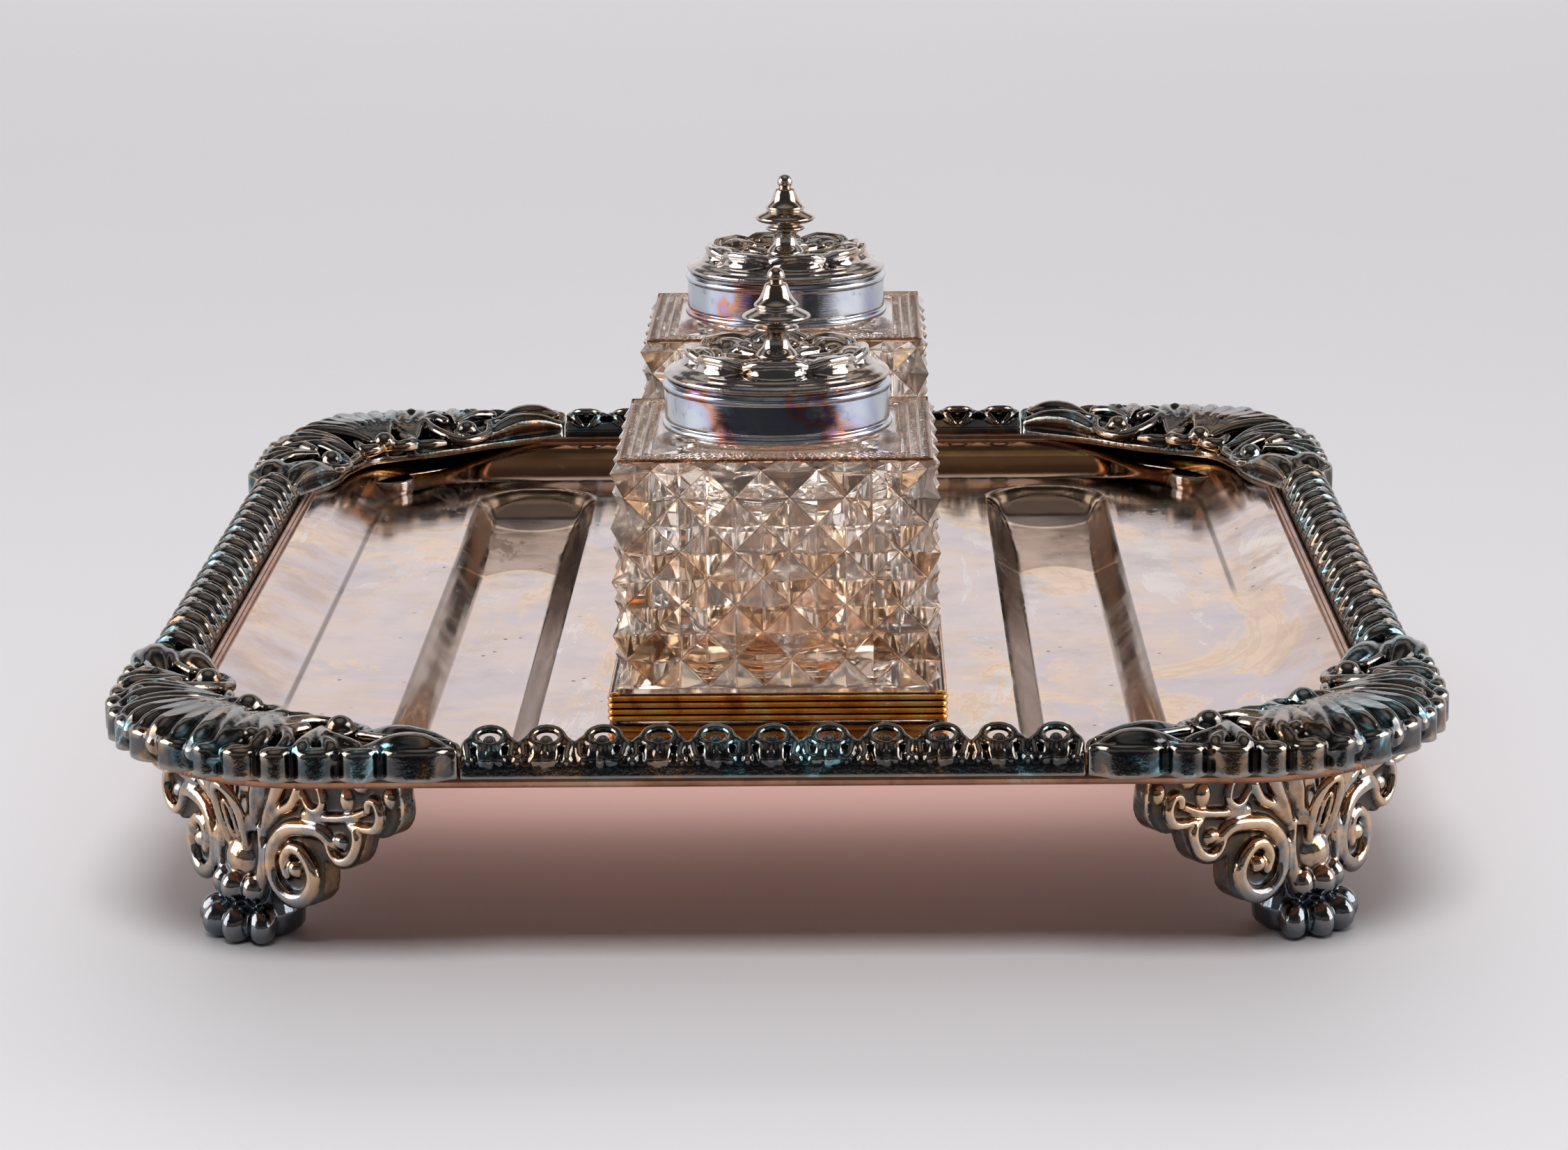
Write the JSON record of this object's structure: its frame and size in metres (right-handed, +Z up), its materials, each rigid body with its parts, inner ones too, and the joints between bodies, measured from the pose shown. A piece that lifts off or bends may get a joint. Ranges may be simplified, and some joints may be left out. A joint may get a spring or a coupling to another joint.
{
  "type": "two-bottle inkstand",
  "caption": "Footed rectangular tray with pen troughs, cast scroll border, square cut-glass ink bottles in reeded frames, and lift-off covers with turned finials.",
  "frame": {"origin": "centre of the four feet, on the table", "axes": "+Z up, +Y along the tray from the front bottle to the rear bottle, +X to the right"},
  "size_m": [0.2164, 0.2664, 0.1005],
  "materials": {
    "tray": "worn, tarnished silver plate",
    "border": "dark tarnished silver plate, polished crests",
    "foot": "dark tarnished silver plate, coppery crests",
    "frame": "polished, copper showing through the plate",
    "cover": "bright silver plate",
    "glass": "polished cut glass"
  },
  "bodies": {
    "stand": {"tray_plate": "tray", "border_side_right": "border", "border_side_left": "border", "border_end_rear": "border", "border_end_front": "border", "border_corner_front_left": "border", "border_corner_front_right": "border", "border_corner_rear_left": "border", "border_corner_rear_right": "border", "foot_front_left": "foot", "foot_front_right": "foot", "foot_rear_left": "foot", "foot_rear_right": "foot", "bottle_frame_front": "frame", "bottle_frame_rear": "frame"},
    "bottle_front": {"bottle_front": "glass"},
    "cover_front": {"cover_band_front": "cover", "cover_dome_front": "cover", "finial_front": "cover", "finial_nut_front": "cover"},
    "bottle_rear": {"bottle_rear": "glass"},
    "cover_rear": {"cover_band_rear": "cover", "cover_dome_rear": "cover", "finial_rear": "cover", "finial_nut_rear": "cover"}
  },
  "joints": [
    {"name": "bottle_front_lift", "type": "slide", "parent": "stand", "child": "bottle_front", "axis": [0, 0, 1], "range_m": [0, 0.06]},
    {"name": "cover_front_lift", "type": "slide", "parent": "bottle_front", "child": "cover_front", "axis": [0, 0, 1], "range_m": [0, 0.03]},
    {"name": "bottle_rear_lift", "type": "slide", "parent": "stand", "child": "bottle_rear", "axis": [0, 0, 1], "range_m": [0, 0.06]},
    {"name": "cover_rear_lift", "type": "slide", "parent": "bottle_rear", "child": "cover_rear", "axis": [0, 0, 1], "range_m": [0, 0.03]}
  ]
}
